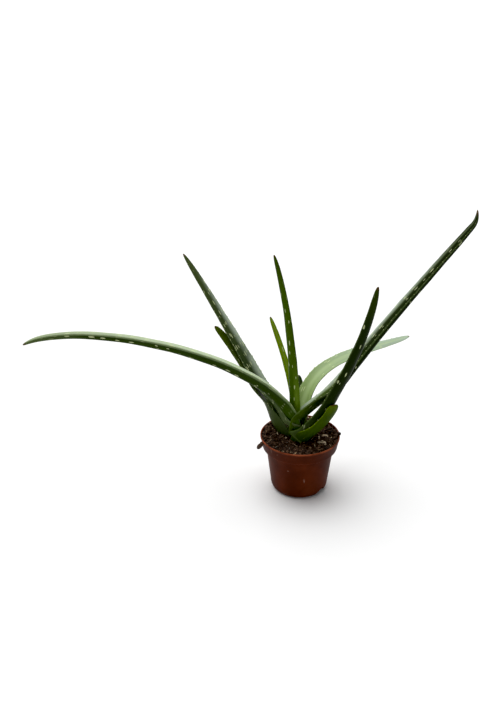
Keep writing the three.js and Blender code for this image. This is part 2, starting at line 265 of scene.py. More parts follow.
# Takes each cutter's solid out of the piece, and leaves no modifier on it.
def cutWith(piece, cutters):
    for points, faces in cutters:
        mesh = bpy.data.meshes.new("cutter")
        mesh.from_pydata((points * mm).tolist(), [], [f for part in faces for f in part.tolist()])
        tool = bpy.data.objects.new("cutter", mesh)
        bpy.context.scene.collection.objects.link(tool)
        modifier = piece.modifiers.new("cut", "BOOLEAN")
        modifier.operation = "DIFFERENCE"
        modifier.solver = "EXACT"
        modifier.object = tool
        bpy.context.view_layer.update()
        evaluated = piece.evaluated_get(bpy.context.evaluated_depsgraph_get())
        piece.data = bpy.data.meshes.new_from_object(evaluated)
        piece.modifiers.clear()
        bpy.data.objects.remove(tool)


# The outer profile up from the underside, over the lip and down the inside, turned round the axis.
# A flat oval rod cuts the notch in the foot, and round rods cut the drain holes.
def makePot():
    top, lipFoot = pot["height"], pot["height"] - pot["lipHeight"]
    rim, lipIn, wall = pot["rimRadius"], pot["rimRadius"] - pot["lipThickness"], pot["wall"]
    corners = [
        (0, 0, 0), *footCorners(0, 0),
        (pot["bodyTop"], pot["collarBottom"] - wall, 1.2),
        (pot["collarFoot"] - 0.3, pot["collarBottom"] - 0.6, 0.7),
        (pot["collarFoot"], pot["collarBottom"] + 0.4, 0.6),
        (pot["collarTop"] - 0.1, lipFoot - 0.1, 0.4),
        (rim, lipFoot + 0.2, 0.7),
        (rim, top, 0.9),
        (lipIn, top, 0.9),
        (pot["collarTop"] - wall, lipFoot - 0.6, 1.2),
        (pot["collarFoot"] - wall, pot["collarBottom"] + wall / 2, 1.0),
        (pot["bodyTop"] - wall, pot["collarBottom"] - wall / 2, 1.0),
        *reversed(footCorners(wall, pot["floor"])),
        (0, pot["floor"], 0),
    ]
    points, faces = turnedSkin(roundedProfile(corners), pot["sides"])
    shell = makePiece("potShell", points * mm, faces, ["pot"])
    heading = math.radians(pot["notchHeading"])
    out = np.array([math.cos(heading), math.sin(heading), 0])
    along = np.array([-out[1], out[0], 0]) * pot["notchLength"] / 2
    reach = [out * (pot["bodyFoot"] - pot["notchDepth"]), out * (pot["bodyFoot"] + 4)]
    cutters = [rodSkin(reach[0], reach[1], along, (0, 0, pot["notchHeight"]))]
    ringRadius = pot["bodyFoot"] - pot["footInset"] - pot["drainInset"]
    for i in range(pot["drainHoles"]):
        turn = (i + 0.5) * 2 * math.pi / pot["drainHoles"]
        middle = np.array([ringRadius * math.cos(turn), ringRadius * math.sin(turn), 0])
        half = pot["drainRadius"]
        cutters.append(rodSkin(middle - (0, 0, 2), middle + (0, 0, 4), (half, 0, 0), (0, half, 0)))
    cutWith(shell, cutters)
    shell.data.polygons.foreach_set("use_smooth", np.ones(len(shell.data.polygons), bool))
    shell.data.set_sharp_from_angle(angle=math.radians(40))
    shell.data.materials.clear()
    shell.data.materials.append(potMaterial())


# Clouded red-brown plastic, rubbed on the lip, with painted shade on the collar, scuffed and dusty.
def potMaterial():
    material, tree, shader = newMaterial("mouldedPlastic", Roughness=0.42, Specular_IOR_Level=0.08)
    place = objectPlace(tree)
    cloud = softRange(tree, grain(tree, place, 28, 4), 0.35, 0.7)
    colour = mixPaint(tree, cloud, potPaint["deep"], potPaint["main"])
    height = addNode(tree, "SeparateXYZ", {0: place}).outputs[2]
    # The lip is rubbed paler.
    lip = softRange(tree, height, (pot["height"] - 2.6) * mm, (pot["height"] - 0.8) * mm)
    rubbed = times(tree, lip, softRange(tree, grain(tree, place, 60, 3), 0.25, 0.6), 0.8)
    colour = mixPaint(tree, rubbed, colour, potPaint["worn"])
    # Painted shade: the collar is drawn a little darker than the body.
    collar = softRange(tree, height, (pot["collarBottom"] - 1) * mm, (pot["collarBottom"] + 3) * mm)
    collar = times(tree, calc(tree, "SUBTRACT", collar, lip), 0.45)
    colour = mixPaint(tree, collar, colour, potPaint["collar"])
    # Fine upright scuffs, only in a few patches.
    line = softRange(tree, grain(tree, place, 190, 4, 0.6, (1, 1, 0.22)), 0.62, 0.7)
    patch = softRange(tree, grain(tree, place, 26, 2, 0.5, shift=(0.013, 0.02, 0.004)), 0.6, 0.72)
    scuff = times(tree, line, patch, 0.55)
    colour = mixPaint(tree, scuff, colour, potPaint["scuff"])
    # Scuffs at set places: full inside an oval and none outside it, broken up by fine noise.
    broken = softRange(tree, grain(tree, place, 900, 3, 0.6, (1, 1, 0.3)), 0.36, 0.56)
    for middle, size in potPaint["scuffPlaces"]:
        away = addNode(tree, "VectorMath", {0: place, 1: [v * mm for v in middle]}, operation="SUBTRACT")
        scaled = addNode(tree, "VectorMath", {0: away.outputs[0], 1: [1 / (v * mm) for v in size]},
                         operation="MULTIPLY")
        far = addNode(tree, "VectorMath", {0: scaled.outputs[0]}, operation="LENGTH").outputs["Value"]
        near = times(tree, oneLess(tree, softRange(tree, far, 0.35, 1.0)), broken, 0.5)
        colour = mixPaint(tree, near, colour, potPaint["scuff"])
    dust = times(tree, softRange(tree, grain(tree, place, 9, 5, 0.65), 0.5, 0.8), 0.35)
    colour = mixPaint(tree, dust, colour, potPaint["dust"])
    tree.links.new(colour, shader.inputs["Base Color"])
    rough = calc(tree, "MULTIPLY_ADD", grain(tree, place, 75, 3), 0.22, 0.32)
    tree.links.new(rough, shader.inputs["Roughness"])
    bumpFrom(tree, shader, grain(tree, place, 420, 3), 0.00012, 0.5)
    return material


makePot()
print("pot made")


compost = {
    "drop": 5.5, "heapHeight": 3.2, "heapX": -27, "heapSpread": 17, "lumpHeight": 0.8, "lumpSpacing": 19,
    "clumps": 900, "clumpRadius": (1.2, 5.6), "clumpRise": 1.0, "grit": 0.34,
    "clumpField": 52, "settled": 0.8, "topRadius": 49.9, "rings": 130, "sides": 360, "gap": 0.3,
}
dice = np.random.default_rng(11)
clumpTurn = dice.uniform(0, 2 * math.pi, compost["clumps"])
clumpPlace = np.sqrt(dice.uniform(0, 1, compost["clumps"])) * compost["clumpField"]
clumpX, clumpY = clumpPlace * np.cos(clumpTurn), clumpPlace * np.sin(clumpTurn)
clumpSize = between(*compost["clumpRadius"], dice.uniform(0, 1, compost["clumps"]) ** 2)
gritWaves = dice.normal(0, 1.5, (14, 2))
gritPhase = dice.uniform(0, 2 * math.pi, 14)


# The level, plus a bell-shaped heap, plus crossed sine lumps, all in millimetres.
def settledHeight(x, y):
    heap = np.exp(-((x - compost["heapX"]) ** 2 + y**2) / (2 * compost["heapSpread"] ** 2))
    wave = 2 * math.pi / compost["lumpSpacing"]
    lumps = np.sin(wave * x) * np.cos(wave * y) + 0.5 * np.sin(1.9 * wave * (x - y) + 1)
    return pot["height"] - compost["drop"] + compost["heapHeight"] * heap + compost["lumpHeight"] * lumps


# The settled height, plus the highest of many low domes r sqrt(1 - d^2 / r^2), plus small waves.
def compostHeight(x, y):
    flatX, flatY = np.ravel(x), np.ravel(y)
    dome = np.zeros(flatX.shape)
    for block in range(0, compost["clumps"], 60):
        part = slice(block, block + 60)
        away = (flatX[:, None] - clumpX[part]) ** 2 + (flatY[:, None] - clumpY[part]) ** 2
        rise = clumpSize[part] * np.sqrt(np.clip(1 - away / clumpSize[part] ** 2, 0, 1))
        dome = np.maximum(dome, rise.max(1))
    waves = np.sin(flatX[:, None] * gritWaves[:, 0] + flatY[:, None] * gritWaves[:, 1] + gritPhase).mean(1)
    detail = compost["clumpRise"] * dome + compost["grit"] * 4 * waves - compost["settled"]
    return (settledHeight(flatX, flatY) + detail).reshape(np.shape(x))


# The inside of the collar: its top's radius, less its taper for each millimetre down.
def wallInside(height):
    return pot["collarTop"] - pot["wall"] - pot["collarTaper"] * (pot["height"] - pot["lipHeight"] - height)


# Top: rings from the middle out to the wall. Side: down the inside of the pot, drawn back behind
# the notch, to the underside.
def makeCompost():
    sides, rings = compost["sides"], compost["rings"]
    angle = np.arange(sides) * 2 * math.pi / sides
    share = (np.arange(1, rings + 1) / rings)[:, None]
    edge = compost["topRadius"]
    x, y = share * edge * np.cos(angle), share * edge * np.sin(angle)
    z = compostHeight(x, y)
    pull = between(1, (wallInside(z) - compost["gap"]) / edge, share**6)
    top = np.stack([x * pull, y * pull, z], -1)
    gap, wall = compost["gap"], pot["wall"]
    down = [
        (pot["collarFoot"] - wall - gap, pot["collarBottom"] + wall / 2 + gap, 0),
        (pot["bodyTop"] - wall - gap, pot["collarBottom"] - wall / 2, 0),
        *reversed(footCorners(wall + gap, pot["floor"] + gap)),
    ]
    side = turnedPoints(np.array([c[:2] for c in down]), sides).reshape(-1, sides, 3)
    heading = math.radians(pot["notchHeading"])
    out = side[..., 0] * math.cos(heading) + side[..., 1] * math.sin(heading)
    across = side[..., 1] * math.cos(heading) - side[..., 0] * math.sin(heading)
    room = (across / (pot["notchLength"] / 2 + 1.5)) ** 2 + (side[..., 2] / (pot["notchHeight"] + 1.5)) ** 2
    kept = pot["bodyFoot"] - pot["notchDepth"] - 1.5
    back = np.where((room < 1) & (out > 0), np.minimum(0, kept - out), 0)
    side[..., 0] += back * math.cos(heading)
    side[..., 1] += back * math.sin(heading)
    body = np.concatenate([top, side]).reshape(-1, 3)
    middle = compostHeight(np.array([0.0]), np.array([0.0]))[0]
    points = np.concatenate([body, [[0, 0, middle], [0, 0, pot["floor"] + gap]]])
    count = rings + len(down)
    faces = [
        skinQuads(count, sides)[:, ::-1],
        capTriangles(0, sides, len(body), False),
        capTriangles((count - 1) * sides, sides, len(body) + 1, True),
    ]
    piece = makePiece("compostBed", points * mm, faces, ["soil"])
    piece.data.materials.append(compostMaterial())


compostPaint = {"wet": (20, 12, 8), "peat": (76, 54, 40), "dry": (140, 110, 84)}


# Dark wet peat with paler dry bits, from the sum of a fine and a broad noise.
def compostMaterial():
    material, tree, shader = newMaterial("moistPeat", Roughness=0.9, Specular_IOR_Level=0.25)
    place = objectPlace(tree)
    fine = grain(tree, place, 700, 6, 0.7)
    broad = grain(tree, place, 110, 4, 0.6)
    value = calc(tree, "ADD", times(tree, fine, 0.6), times(tree, broad, 0.4))
    stops = [(0.42, compostPaint["wet"]), (0.55, compostPaint["peat"]), (0.68, compostPaint["dry"])]
    tree.links.new(paintRamp(tree, value, stops), shader.inputs["Base Color"])
    bumpFrom(tree, shader, calc(tree, "ADD", fine, broad), 0.0012, 0.9)
    return material


# A rough little lump: a ball of 4 rings and 6 sides, 26 points, with each point pushed in or out.
lumpTurn = np.arange(6) * math.pi / 3
lumpRise = np.radians([-50, -18, 18, 50])
lumpBall = np.concatenate([
    np.stack([np.cos(lumpRise)[:, None] * np.cos(lumpTurn), np.cos(lumpRise)[:, None] * np.sin(lumpTurn),
              np.sin(lumpRise)[:, None] + 0 * lumpTurn], -1).reshape(-1, 3),
    [[0, 0, -1], [0, 0, 1]],
])


# One matrix each: a turn about Y by tilt, and then about Z by turn.
def turnMatrices(turn, tilt):
    one, nil = np.ones_like(turn), np.zeros_like(turn)
    cosZ, sinZ, cosY, sinY = np.cos(turn), np.sin(turn), np.cos(tilt), np.sin(tilt)
    aroundZ = np.stack([cosZ, -sinZ, nil, sinZ, cosZ, nil, nil, nil, one], -1)
    aroundY = np.stack([cosY, nil, sinY, nil, one, nil, -sinY, nil, cosY], -1)
    return aroundZ.reshape(-1, 3, 3) @ aroundY.reshape(-1, 3, 3)


# Random places on the compost, kept clear of the plant's middle and of the wall.
def scatteredPlaces(dice, count, inner=9.5, outer=48):
    turn = dice.uniform(0, 2 * math.pi, count)
    away = np.sqrt(dice.uniform((inner / outer) ** 2, 1, count)) * outer
    return away * np.cos(turn) - 1.5, away * np.sin(turn)


# Bits whose points share one set of faces, as one piece. Each bit has a tone of its own.
def manyAsOne(name, points, oneSkin, dice):
    count, each = points.shape[:2]
    first = (np.arange(count) * each)[:, None, None]
    faces = [(part[None] + first).reshape(-1, part.shape[1]) for part in oneSkin]
    tones = np.repeat(dice.uniform(0, 1, count), each)
    return makePiece(name, points.reshape(-1, 3) * mm, faces, layers={"tone": tones})


# Many small lumps as one piece: the ball stretched to each size, turned, and set on the compost.
def scatterLumps(name, bits):
    dice, count = np.random.default_rng(bits["seed"]), bits["count"]
    x, y = scatteredPlaces(dice, count)
    length, width, high = (between(low, top, dice.uniform(0, 1, count) ** 2) for low, top in bits["size"])
    shape = lumpBall * (1 + dice.uniform(-0.28, 0.28, (count, 26, 1)))
    shape = shape * np.stack([length, width, high], -1)[:, None] / 2
    turns = turnMatrices(dice.uniform(0, 2 * math.pi, count), dice.uniform(-0.6, 0.6, count))
    middle = np.stack([x, y, compostHeight(x, y) + high * (0.5 - bits["sink"])], -1)
    points = np.einsum("nij,npj->npi", turns, shape) + middle[:, None]
    return manyAsOne(name, points, closedSkin(4, 6), dice)


# Thin fibres as one piece: each bends sideways by a cosine, slopes up or down, and thins to its ends.
def scatterFibres(name, bits):
    dice, count = np.random.default_rng(bits["seed"]), bits["count"]
    x, y = scatteredPlaces(dice, count)
    long = between(*bits["length"], dice.uniform(0, 1, count) ** 1.5)[:, None]
    along = np.linspace(-0.5, 0.5, 7)[None]
    bend, rise = dice.normal(0, 0.22, (count, 1)), dice.normal(0, 0.25, (count, 1))
    spine = np.stack([along * long, bend * long * np.cos(along * 5), rise * long * along], -1)
    turn = turnMatrices(dice.uniform(0, 2 * math.pi, count), np.zeros(count))
    spine = np.einsum("nij,npj->npi", turn, spine)
    spine[..., 0] += x[:, None]
    spine[..., 1] += y[:, None]
    spine[..., 2] += compostHeight(x, y)[:, None] + 0.25
    heading = unit(np.gradient(spine, axis=1))
    sideways = unit(np.cross(heading, [0, 0, 1.0]))
    upright = np.cross(sideways, heading)
    thick = between(*bits["thickness"], dice.uniform(0, 1, (count, 1)) ** 2)
    thick = thick * np.sqrt(1.05 - (2 * along) ** 2)
    angle = np.arange(5) * 2 * math.pi / 5
    ring = (np.cos(angle)[:, None] * upright[:, :, None] + np.sin(angle)[:, None] * sideways[:, :, None])
    points = spine[:, :, None] + ring * thick[..., None, None] / 2
    points = np.concatenate([points.reshape(count, 35, 3), spine[:, :1], spine[:, -1:]], 1)
    return manyAsOne(name, points, closedSkin(7, 5), dice)


# Colour from each bit's own tone, with grain over it.
def bitMaterial(name, stops, rough, scale=500):
    material, tree, shader = newMaterial(name, Roughness=rough, Specular_IOR_Level=0.25)
    place = objectPlace(tree)
    fine = grain(tree, place, scale, 4, 0.65)
    mottle = times(tree, calc(tree, "SUBTRACT", fine, 0.5), 0.9)
    value = calc(tree, "ADD", layerValue(tree, "tone"), mottle)
    tree.links.new(paintRamp(tree, value, stops), shader.inputs["Base Color"])
    bumpFrom(tree, shader, fine, 0.0006, 0.8)
    return material


makeCompost()
# size holds the shortest and longest length, width and height, and sink is the share that is buried.
litter = {
    "compostCrumbs": {
        "count": 1700, "size": ((0.9, 6.5), (0.6, 3.6), (0.5, 2.6)), "sink": 0.25, "seed": 21,
        "slot": "compost", "finish": "peatCrumbs", "rough": 0.85,
        "stops": [(0.1, (20, 12, 8)), (0.6, (64, 44, 32)), (1.0, (122, 92, 70))],
    },
    "barkSlivers": {
        "count": 70, "size": ((2.5, 9.0), (0.8, 2.6), (0.5, 1.2)), "sink": 0.0, "seed": 22,
        "slot": "pale_bark", "finish": "paleSlivers", "rough": 0.75,
        "stops": [(0.0, (120, 92, 66)), (0.5, (190, 160, 122)), (1.0, (232, 212, 178))],
    },
    "perliteSpecks": {
        "count": 26, "size": ((0.7, 1.8), (0.7, 1.5), (0.6, 1.2)), "sink": 0.1, "seed": 23,
        "slot": "pale_bark", "finish": "whitePerlite", "rough": 0.8,
        "stops": [(0.0, (170, 165, 150)), (1.0, (235, 232, 222))],
    },
}
fibres = {
    "count": 420, "length": (3, 13), "thickness": (0.22, 0.6), "seed": 24,
    "slot": "dark_bark", "finish": "peatFibres", "rough": 0.85,
    "stops": [(0.0, (34, 20, 13)), (0.75, (84, 56, 38)), (1.0, (150, 116, 78))],
}
for name, bits in {**litter, "peatFibres": fibres}.items():
    piece = (scatterFibres if bits is fibres else scatterLumps)(name, bits)
    piece.data.materials.append(bitMaterial(bits["finish"], bits["stops"], bits["rough"]))
print("compost made")


# turn is about Z and tilt lifts one end. move shifts the bit from its solid's middle, and rough is how
# split and knobbly it is.
everyBit = {"move": (0, 0, 0), "rough": 1}
looseBits = {
    "chip_front": {"name": "flatChip", "size": (10.5, 4.2, 2.0), "turn": -12, "tilt": 4, "tone": 0.95},
    "bark_chunk": {
        "name": "barkChunk", "size": (13, 8, 6), "turn": -8, "tilt": 0, "tone": 0.85, "rough": 2.4,
    },
    "splinter": {"name": "uprightSplinter", "size": (11, 2.2, 1.6), "turn": 20, "tilt": 84, "tone": 1.0},
    "chip_right": {"name": "rightChip", "size": (9, 4, 3), "turn": -20, "tilt": 5, "tone": 0.7},
    "chip_back_right": {"name": "backRightChip", "size": (7, 3.5, 3), "turn": 30, "tilt": 8, "tone": 0.75},
    "twig_left_rim": {
        "name": "rimTwig", "size": (11, 4.6, 4.4), "turn": 200, "tilt": -42, "tone": 0.75,
        "move": (1.6, 0, 0.4), "rough": 1.8,
    },
    "crumb_right_rim": {"name": "rimCrumb", "size": (4.2, 5, 3.2), "turn": 10, "tilt": 0, "tone": 0.3},
}
looseBits = {node: {**everyBit, **values} for node, values in looseBits.items()}
darkBits = ("twig_left_rim", "crumb_right_rim")


# A squared-off ball: cos and sin raised to 0.7, times a swell of crossed sines that split it lengthwise.
def makeLooseBit(node, values, seed):
    dice = np.random.default_rng(seed)
    rise = np.linspace(-math.pi / 2, math.pi / 2, 30)[1:-1, None]
    turn = np.arange(44)[None] * 2 * math.pi / 44
    power = lambda v: np.sign(v) * np.abs(v) ** 0.7
    x = power(np.sin(rise)) + 0 * turn
    y, z = power(np.cos(rise)) * power(np.cos(turn)), power(np.cos(rise)) * power(np.sin(turn))
    phase = dice.uniform(0, 6, 6)
    swell = 1 + 0.1 * np.sin(5 * turn + phase[0] + 1.5 * x) + 0.07 * np.sin(9 * turn + phase[1] - 2 * x)
    swell = swell + 0.09 * np.sin(4 * x + phase[2]) * np.cos(3 * turn + phase[3])
    swell = 1 + (swell - 1 + dice.normal(0, 0.025, x.shape)) * values["rough"]
    ends = 1 - 0.12 * np.cos(2 * turn + phase[4]) * np.abs(x) ** 3
    shape = np.stack([x * ends, y * swell, z * swell], -1).reshape(-1, 3)
    shape = np.concatenate([shape, [[-1, 0, 0], [1, 0, 0]]]) * np.array(values["size"]) / 2
    matrix = turnMatrices(np.radians([values["turn"]]), np.radians([-values["tilt"]]))[0]
    low, high = (np.array(corner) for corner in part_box(node))
    points = shape @ matrix.T * mm + (low + high) / 2 + np.array(values["move"]) * mm
    tones = np.full(len(points), values["tone"])
    piece = makePiece(values["name"], points, closedSkin(28, 44), [node], {"tone": tones})
    piece.data.materials.append(barkDark if node in darkBits else barkPale)


barkPaint = {
    "pale": [(0.0, (66, 46, 32)), (0.5, (140, 114, 84)), (1.0, (236, 216, 184))],
    "dark": [(0.0, (20, 12, 10)), (0.5, (54, 38, 30)), (1.0, (98, 76, 60))],
}
barkPale = bitMaterial("paleBark", barkPaint["pale"], 0.8, 380)
barkDark = bitMaterial("darkTwig", barkPaint["dark"], 0.85, 380)
for index, (node, values) in enumerate(looseBits.items()):
    makeLooseBit(node, values, 40 + index)
print("loose bits made")


# Points are millimetres from the crown, the middle of the plant at the compost, and run is how far
# along the leaf a place is. The leaf grows from root, drawn towards rise and arch, to its tip.
# width and thickness are the blade's at its base, taper is the share of the width lost by the tip, and
# channel is how curved the blade is across (1 / mm). heading is where the leaf's back faces. clasp is
# how far the sheath wraps round the stem to each side. It opens from run hold to run sheath, and flare
# is how much wider it gets for each millimetre. shift moves the leaf's base, rail holds places of the
# sheath's front margin, turnIn and roll turn the blade about its own line, and hook bends the tip.
# base, middle and end are the inner face's colours, back is the outer face's and edge the margin's.
# spots, streak, bloom and rust are how strong those marks are. The streak is partly a painted highlight
# down the channel and the bloom partly a painted reflection of the light. The side value is the side
# that blooms and takes that painted reflection (-1 or 1, 0 for both). rim is how wide the pale margin
# is, as a share of half the width.
crown = np.array([-3.0, 0.0, pot["height"] - compost["drop"]])
leafShape = {
    "rings": 150, "sides": 56, "innerShare": 0.22, "thinning": 0.5, "sheathThickness": 2.6,
    "tipSharpness": 20, "marginPower": 1.05, "toothSpacing": 8.5, "toothHeight": 0.85,
    "shiftRun": 110, "turnInRun": 130, "hookShare": 0.05,
    "railSpread": 7, "railHold": 0.62, "railPull": 1.4,
}
# What a leaf takes where its own values don't say otherwise.
everyLeaf = {
    "channel": 0.04, "flare": 0, "hold": 0, "turnIn": 0, "roll": 0, "hook": 0, "shift": (0, 0, 0),
    "rail": [], "streakAndHighlight": 0, "bloomAndReflection": 0, "rim": 0.04, "reflectingSide": 0, "rust": 0,
}
leaves = {
    "leaf_centre": {
        "name": "centreLeaf", "slot": "leaf_young",
        "root": (-2, 0, 4), "rise": (-8, 2, 92), "arch": (-11, 5, 175), "tip": (-34, 8, 254),
        "width": 23.5, "thickness": 11.5, "taper": 0.65, "channel": 0.05,
        "heading": 206, "clasp": 100, "sheath": 40, "shift": (-1.5, 0, 0),
        "base": (158, 188, 44), "middle": (60, 86, 14), "end": (50, 72, 12), "back": (74, 102, 14),
        "edge": (150, 184, 60), "spots": 0.8, "streakAndHighlight": 0.3, "rim": 0.55,
    },
    "leaf_arching_right": {
        "name": "archingRightLeaf", "slot": "leaf_pale",
        "root": (4, 4, 0), "rise": (-7, 46, 101), "arch": (95, 77, 86.5), "tip": (157, 112, 96),
        "width": 32, "thickness": 6, "taper": 0.7, "channel": 0.06,
        "heading": 42, "clasp": 110, "sheath": 45, "shift": (3, 0, -2),
        "base": (130, 160, 44), "middle": (148, 174, 100), "end": (176, 194, 176),
        "back": (92, 122, 54),
        "edge": (170, 196, 130), "spots": 0.45, "streakAndHighlight": 0.35, "bloomAndReflection": 0.15,
    },
    "leaf_short_back": {
        "name": "shortBackLeaf", "slot": "leaf_yellow_green",
        "root": (-2, 6, 2), "rise": (-2, 20, 59), "arch": (-19, 36, 106), "tip": (-37, 52, 152),
        "width": 14, "thickness": 4.5, "taper": 0.5,
        "heading": 125, "clasp": 90, "sheath": 30,
        "base": (120, 156, 24), "middle": (130, 162, 12), "end": (122, 150, 12), "back": (126, 156, 10),
        "edge": (130, 160, 40), "spots": 0.3, "streakAndHighlight": 0.1, "rust": 0.8,
    },
    "leaf_stub_back": {
        "name": "stubBackLeaf", "slot": "leaf_dark",
        "root": (1, 7, 0), "rise": (3, 32, 22), "arch": (8, 50, 44), "tip": (2, 57, 64),
        "width": 15, "thickness": 5, "taper": 0.5,
        "heading": 80, "clasp": 90, "sheath": 30,
        "base": (80, 110, 30), "middle": (44, 68, 14), "end": (38, 58, 12), "back": (40, 62, 14),
        "edge": (90, 110, 40), "spots": 0.4, "streakAndHighlight": 0.1,
    },
    "leaf_arching_left": {
        "name": "archingLeftLeaf", "slot": "leaf_mid",
        "root": (-7, -1, -3), "rise": (14, -5, 114), "arch": (-274, -28, 193),
        "tip": (-341, -35, 152.3),
        "width": 25, "thickness": 15.5, "taper": 0.5,
        "heading": 188, "clasp": 95, "sheath": 50, "hold": 6, "flare": 0.1, "roll": 11,
        "rail": [
            (0, 4, -13, 12), (24, 2, -15, 34), (38, -3, -14, 46), (56, -12, -12.5, 60),
            (84, -30, -13, 78),
        ],
        # Painted light: the inner face's middle and end are drawn nearly white, the pale of its upward face
        # in the light.
        "base": (66, 96, 4), "middle": (206, 222, 190), "end": (150, 164, 130), "back": (48, 70, 8),
        "edge": (150, 170, 120), "spots": 0.8, "streakAndHighlight": 0.3, "bloomAndReflection": 0.05,
    },
    "leaf_long_right": {
        "name": "longRightLeaf", "slot": "leaf_dark",
        "root": (9, 0, -4), "rise": (55, 8, 98), "arch": (145, 18, 201), "tip": (220.5, 29, 298.5),
        "width": 26, "thickness": 14.5, "taper": 0.55,
        "heading": -2, "clasp": 85, "sheath": 76, "hold": 14, "flare": 0.1, "shift": (-16, 0, 6),
        "turnIn": -2, "roll": 8, "hook": 10,
        "rail": [
            (0, -13, -12, 12), (22, -11.5, -17, 37), (34, -3, -18, 48), (52, 12, -14, 58.5),
            (68, 25, -11, 67), (94, 45.7, -6, 84),
        ],
        "base": (84, 110, 24), "middle": (36, 50, 16), "end": (24, 34, 6), "back": (28, 42, 8),
        # The bloom on this leaf's one side is mostly a painted reflection of the light on the wax.
        "edge": (100, 120, 70), "spots": 0.45, "streakAndHighlight": 0.15, "bloomAndReflection": 0.85, "reflectingSide": 1,
    },
    "leaf_tall_left": {
        "name": "tallLeftLeaf", "slot": "leaf_dark",
        "root": (-10, 4, -6), "rise": (-53, 24, 77), "arch": (-100.5, 47, 157), "tip": (-149, 71, 232),
        "width": 28.5, "thickness": 9, "taper": 0.75, "channel": 0.05,
        "heading": 128, "clasp": 88, "sheath": 80, "hold": 20, "flare": 0.15,
        "rail": [
            (0, 12, -13, 20), (14, 4, -18, 29.5), (26, -6, -17.5, 31), (36, -12.5, -15, 34),
            (58, -24.5, -7, 50), (90, -49, 4, 68.5), (112, -69.5, 12, 87.7),
        ],
        "base": (104, 120, 74), "middle": (58, 74, 42), "end": (78, 92, 50), "back": (84, 100, 60),
        # The bloom on this leaf's one side is mostly a painted reflection of the light on the wax.
        "edge": (110, 128, 90), "spots": 1.0, "bloomAndReflection": 1.0, "reflectingSide": -1,
    },
    "leaf_dark_right": {
        "name": "darkRightLeaf", "slot": "leaf_dark",
        "root": (8, -7, -5), "rise": (44, -29, 78), "arch": (77, -53, 158), "tip": (83, -80, 248),
        "width": 28, "thickness": 13, "taper": 0.7,
        "heading": -47, "clasp": 90, "sheath": 62, "hold": 10, "flare": 0.15,
        "rail": [
            (0, 2, -20, 7.5), (8, -6, -20, 12.5), (16, -13.5, -16, 17), (24, -12, -17, 21),
            (34, -2.2, -20.5, 22.7), (44, 5, -22, 32), (60, 15.5, -24, 44.5), (84, 30.5, -29, 69),
            (104, 40.9, -33, 88.4),
        ],
        "base": (92, 112, 58), "middle": (28, 42, 8), "end": (70, 90, 8), "back": (34, 48, 16),
        "edge": (84, 104, 50), "spots": 0.3, "streakAndHighlight": 0.1,
    },
    "leaf_low_right": {
        "name": "lowRightLeaf", "slot": "leaf_mid",
        "root": (9, -9, -6), "rise": (17, -17, 20), "arch": (42, -27, 41), "tip": (43, -36, 70),
        "width": 26, "thickness": 9, "taper": 0.3, "channel": 0.03,
        "heading": -65, "clasp": 80, "sheath": 45, "hold": 6, "flare": 0.15, "shift": (-4, -3, 0),
        "base": (56, 80, 14), "middle": (60, 82, 8), "end": (130, 152, 20), "back": (66, 90, 14),
        "edge": (110, 130, 20), "spots": 0.1,
    },
    "leaf_short_left": {
        "name": "shortLeftLeaf", "slot": "leaf_dark",
        "root": (-12, 5, -6), "rise": (-44, 18, 42), "arch": (-67, 30, 97), "tip": (-109, 44, 142),
        "width": 28, "thickness": 7, "taper": 0.6, "channel": 0.03,
        "heading": 140, "clasp": 88, "sheath": 66, "hold": 20, "flare": 0.15, "shift": (-19, 8, 2),
        "rail": [
            (0, -8, -5, 3), (14, -12.3, -7, 16), (28, -20.2, -5, 28.5), (58, -42.3, 1, 54),
            (86, -58.3, 7, 77.5),
        ],
        "base": (70, 86, 46), "middle": (80, 98, 40), "end": (84, 104, 24), "back": (70, 86, 40),
        "edge": (60, 80, 36), "spots": 0.3, "bloomAndReflection": 0.05,
    },
}
leaves = {node: {**everyLeaf, **leaf} for node, leaf in leaves.items()}


# The middle line at shares u of its length, with the directions of its tip and of its inner face.
# The line is the cubic curve with the weights (1-t)^3, 3t(1-t)^2, 3t^2(1-t), t^3 of its four points,
# and its base is moved by shift, which fades out along shiftRun. The tip bends towards the inner face
# by hook times the square of the share of hookShare that is passed.
def leafSpine(leaf, u):
    controls = np.array([leaf[key] for key in ("root", "rise", "arch", "tip")], float)
    t = np.linspace(0, 1, 801)[:, None]
    curve = np.hstack([(1 - t) ** 3, 3 * t * (1 - t) ** 2, 3 * t**2 * (1 - t), t**3]) @ controls
    reached = lambda: np.concatenate([[0], np.cumsum(np.linalg.norm(np.diff(curve, axis=0), axis=1))])
    curve = curve + np.array(leaf["shift"]) * (1 - smoothStep(reached() / leafShape["shiftRun"]))[:, None]
    run = reached()
    length = run[-1]
    slope = unit(np.gradient(curve, axis=0))
    at = lambda table: np.stack([np.interp(u * length, run, table[:, k]) for k in range(3)], -1)
    point, along = at(curve), unit(at(slope))
    heading = math.radians(leaf["heading"])
    inward = np.array([-math.cos(heading), -math.sin(heading), 1.0])
    face = unit(inward - (along @ inward)[..., None] * along)
    opened = smoothStep((u * length - leaf["hold"]) / (leaf["sheath"] - leaf["hold"]))
    settling = 1 - smoothStep(u * length / leafShape["turnInRun"])
    roll = np.radians(leaf["roll"] * opened + leaf["turnIn"] * settling * opened)[..., None]
    face = face * np.cos(roll) + np.cross(along, face) * np.sin(roll)
    bent = np.clip((u - 1) / leafShape["hookShare"] + 1, 0, None)[..., None]
    return point + face * leaf["hook"] * bent**2, along, face, opened, length


